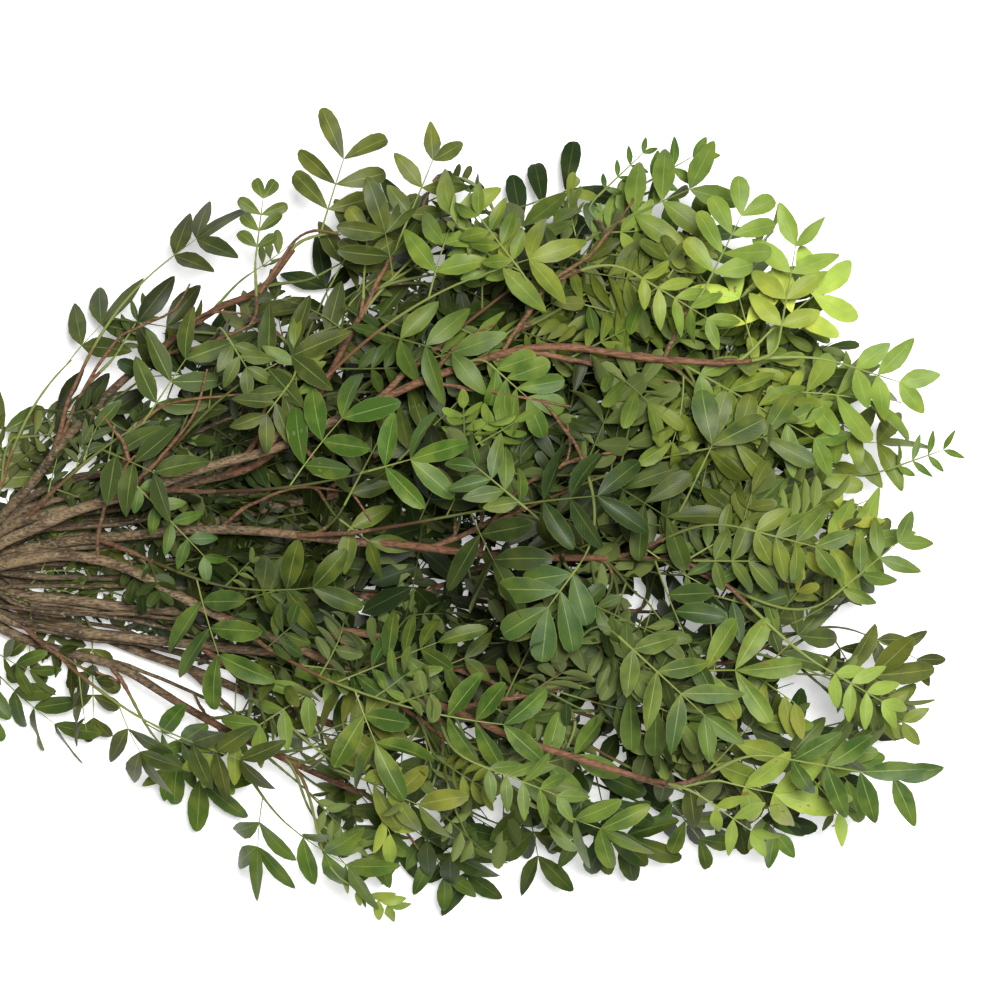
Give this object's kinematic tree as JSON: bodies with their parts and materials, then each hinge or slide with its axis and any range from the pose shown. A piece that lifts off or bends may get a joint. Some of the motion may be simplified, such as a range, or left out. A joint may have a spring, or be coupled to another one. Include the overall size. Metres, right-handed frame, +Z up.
{
  "type": "bunch of cut pistacia foliage branches",
  "caption": "Cut leafy branches held by an elastic band near their cut ends, fanning out to a broad domed crown of pinnate leaves, lying on a table.",
  "frame": {"origin": "middle of the band's flat underside, on the surface that the bunch lies on", "axes": "+X along the stems from the cut ends to the crown, +Z up"},
  "size_m": [0.6632, 0.465, 0.2116],
  "materials": {
    "bark": "rough grey-brown bark",
    "leaf_deep": "leathery leaf, soft sheen",
    "leaf_fresh": "leathery leaf, soft sheen",
    "leaf_shade": "leathery leaf, soft sheen",
    "band": "matte natural rubber"
  },
  "bodies": {
    "root": {"band": "band", "branch_01_wood": "bark", "branch_01_spray_1": "leaf_deep", "branch_01_spray_2": "leaf_fresh", "branch_01_spray_3": "leaf_shade", "branch_01_spray_4": "leaf_deep", "branch_02_wood": "bark", "branch_02_spray_1": "leaf_fresh", "branch_02_spray_2": "leaf_shade", "branch_02_spray_3": "leaf_deep", "branch_02_spray_4": "leaf_fresh", "branch_03_wood": "bark", "branch_03_spray_1": "leaf_shade", "branch_03_spray_2": "leaf_deep", "branch_03_spray_3": "leaf_fresh", "branch_03_spray_4": "leaf_shade", "branch_04_wood": "bark", "branch_04_spray_1": "leaf_deep", "branch_04_spray_2": "leaf_fresh", "branch_04_spray_3": "leaf_shade", "branch_05_wood": "bark", "branch_05_spray_1": "leaf_fresh", "branch_05_spray_2": "leaf_shade", "branch_05_spray_3": "leaf_deep", "branch_05_spray_4": "leaf_fresh", "branch_06_wood": "bark", "branch_06_spray_1": "leaf_shade", "branch_06_spray_2": "leaf_deep", "branch_06_spray_3": "leaf_fresh", "branch_06_spray_4": "leaf_shade", "branch_07_wood": "bark", "branch_07_spray_1": "leaf_deep", "branch_07_spray_2": "leaf_fresh", "branch_07_spray_3": "leaf_shade", "branch_08_wood": "bark", "branch_08_spray_1": "leaf_fresh", "branch_08_spray_2": "leaf_shade", "branch_08_spray_3": "leaf_deep", "branch_08_spray_4": "leaf_fresh", "branch_09_wood": "bark", "branch_09_spray_1": "leaf_shade", "branch_09_spray_2": "leaf_deep", "branch_09_spray_3": "leaf_fresh", "branch_09_spray_4": "leaf_shade", "branch_10_wood": "bark", "branch_10_spray_1": "leaf_deep", "branch_10_spray_2": "leaf_fresh", "branch_10_spray_3": "leaf_shade", "branch_10_spray_4": "leaf_deep", "branch_11_wood": "bark", "branch_11_spray_1": "leaf_fresh", "branch_11_spray_2": "leaf_shade", "branch_11_spray_3": "leaf_deep", "branch_11_spray_4": "leaf_fresh", "branch_12_wood": "bark", "branch_12_spray_1": "leaf_shade", "branch_12_spray_2": "leaf_deep", "branch_12_spray_3": "leaf_fresh", "branch_12_spray_4": "leaf_shade", "branch_12_spray_5": "leaf_deep"}
  },
  "joints": []
}
